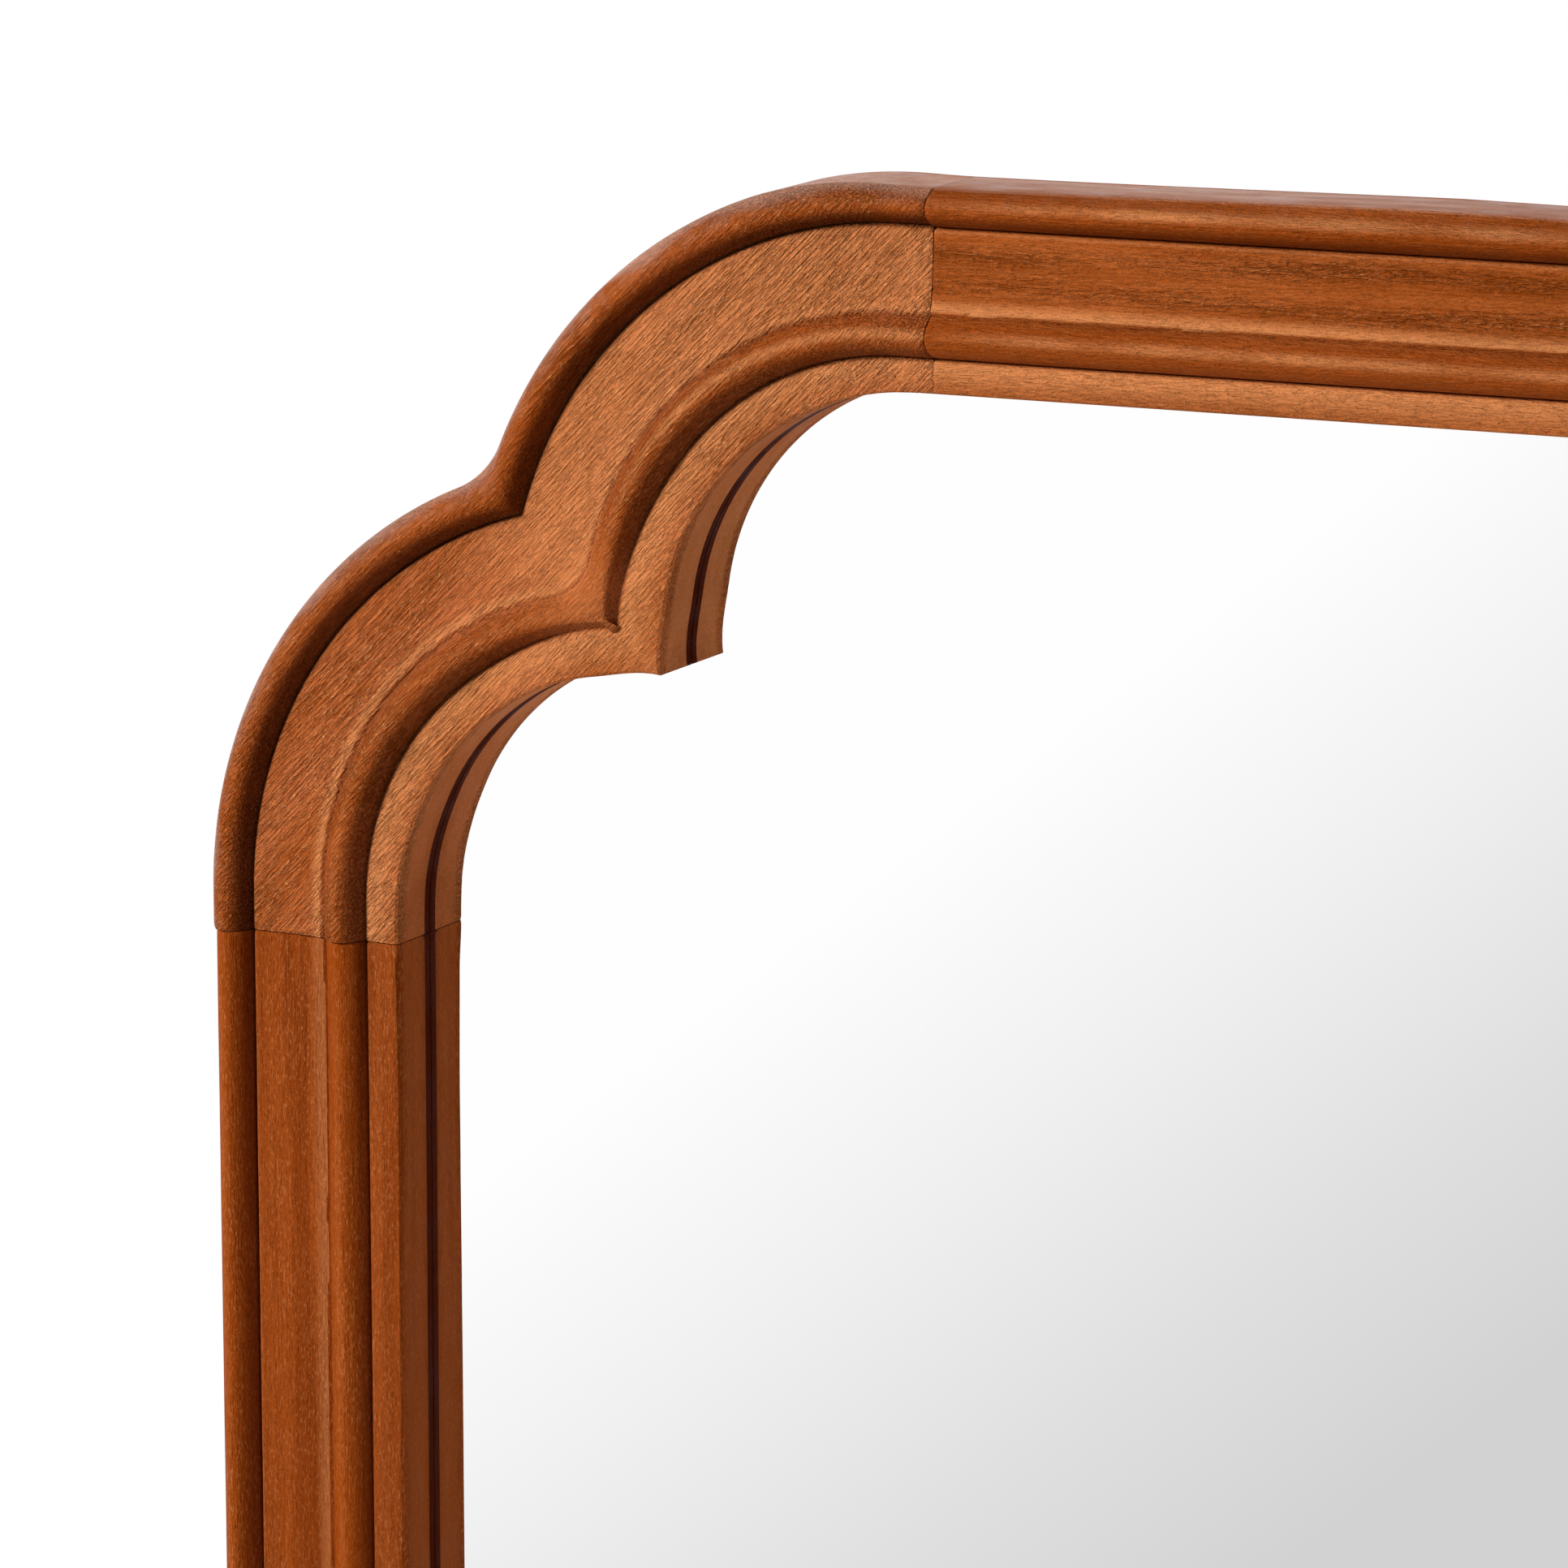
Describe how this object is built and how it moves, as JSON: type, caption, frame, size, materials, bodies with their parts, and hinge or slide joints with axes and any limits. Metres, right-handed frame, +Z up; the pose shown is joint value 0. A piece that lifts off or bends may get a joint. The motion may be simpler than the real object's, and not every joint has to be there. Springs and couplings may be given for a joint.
{
  "type": "wall mirror",
  "caption": "Wall mirror: beaded hardwood frame of rails, stiles and scalloped corner blocks round a rebated glass, with backing board, swinging hanging rings and wall bumpers.",
  "frame": {"origin": "middle of the overall box, which runs from the bead crowns in front to the bumpers' wall faces behind", "axes": "+X to the viewer's right, +Z up, +Y into the wall; the glass faces -Y"},
  "size_m": [0.762, 0.0428, 1.016],
  "materials": {
    "frame_hardwood": "satin oiled warm brown hardwood with carved grain",
    "dowel_wood": "plain beech dowel",
    "silvered_glass": "polished float glass, silvered and painted behind",
    "packing_foam": "thin white foam sheet",
    "hardboard": "smooth brown hardboard",
    "brass_screw": "yellow passivated",
    "zinc_steel": "zinc plated",
    "bumper_rubber": "matt black rubber"
  },
  "bodies": {
    "frame": {"corner_block_top_left": "frame_hardwood", "corner_block_top_right": "frame_hardwood", "corner_block_bottom_left": "frame_hardwood", "corner_block_bottom_right": "frame_hardwood", "top_rail": "frame_hardwood", "bottom_rail": "frame_hardwood", "left_stile": "frame_hardwood", "right_stile": "frame_hardwood", "top_left_rail_dowel_outer": "dowel_wood", "top_left_rail_dowel_inner": "dowel_wood", "top_left_stile_dowel_outer": "dowel_wood", "top_left_stile_dowel_inner": "dowel_wood", "top_right_rail_dowel_outer": "dowel_wood", "top_right_rail_dowel_inner": "dowel_wood", "top_right_stile_dowel_outer": "dowel_wood", "top_right_stile_dowel_inner": "dowel_wood", "bottom_left_rail_dowel_outer": "dowel_wood", "bottom_left_rail_dowel_inner": "dowel_wood", "bottom_left_stile_dowel_outer": "dowel_wood", "bottom_left_stile_dowel_inner": "dowel_wood", "bottom_right_rail_dowel_outer": "dowel_wood", "bottom_right_rail_dowel_inner": "dowel_wood", "bottom_right_stile_dowel_outer": "dowel_wood", "bottom_right_stile_dowel_inner": "dowel_wood", "mirror_glass": "silvered_glass", "packing_sheet": "packing_foam", "backing_board": "hardboard", "backing_screw_1": "brass_screw", "backing_screw_2": "brass_screw", "backing_screw_3": "brass_screw", "backing_screw_4": "brass_screw", "backing_screw_5": "brass_screw", "backing_screw_6": "brass_screw", "backing_screw_7": "brass_screw", "backing_screw_8": "brass_screw", "backing_screw_9": "brass_screw", "backing_screw_10": "brass_screw", "backing_screw_11": "brass_screw", "backing_screw_12": "brass_screw", "backing_screw_13": "brass_screw", "backing_screw_14": "brass_screw", "left_hanger_strap": "zinc_steel", "right_hanger_strap": "zinc_steel", "hanger_screw_1": "zinc_steel", "hanger_screw_2": "zinc_steel", "hanger_screw_3": "zinc_steel", "hanger_screw_4": "zinc_steel", "left_wall_bumper": "bumper_rubber", "right_wall_bumper": "bumper_rubber"},
    "left_ring": {"left_hanging_ring": "zinc_steel"},
    "right_ring": {"right_hanging_ring": "zinc_steel"}
  },
  "joints": [
    {"name": "left_ring_swing", "type": "hinge", "parent": "frame", "child": "left_ring", "pos_m": [-0.361, 0.01765, 0.22388], "axis": [1, 0, 0], "range_deg": [-1, 188]},
    {"name": "right_ring_swing", "type": "hinge", "parent": "frame", "child": "right_ring", "pos_m": [0.361, 0.01765, 0.22388], "axis": [1, 0, 0], "range_deg": [-1, 188]}
  ]
}
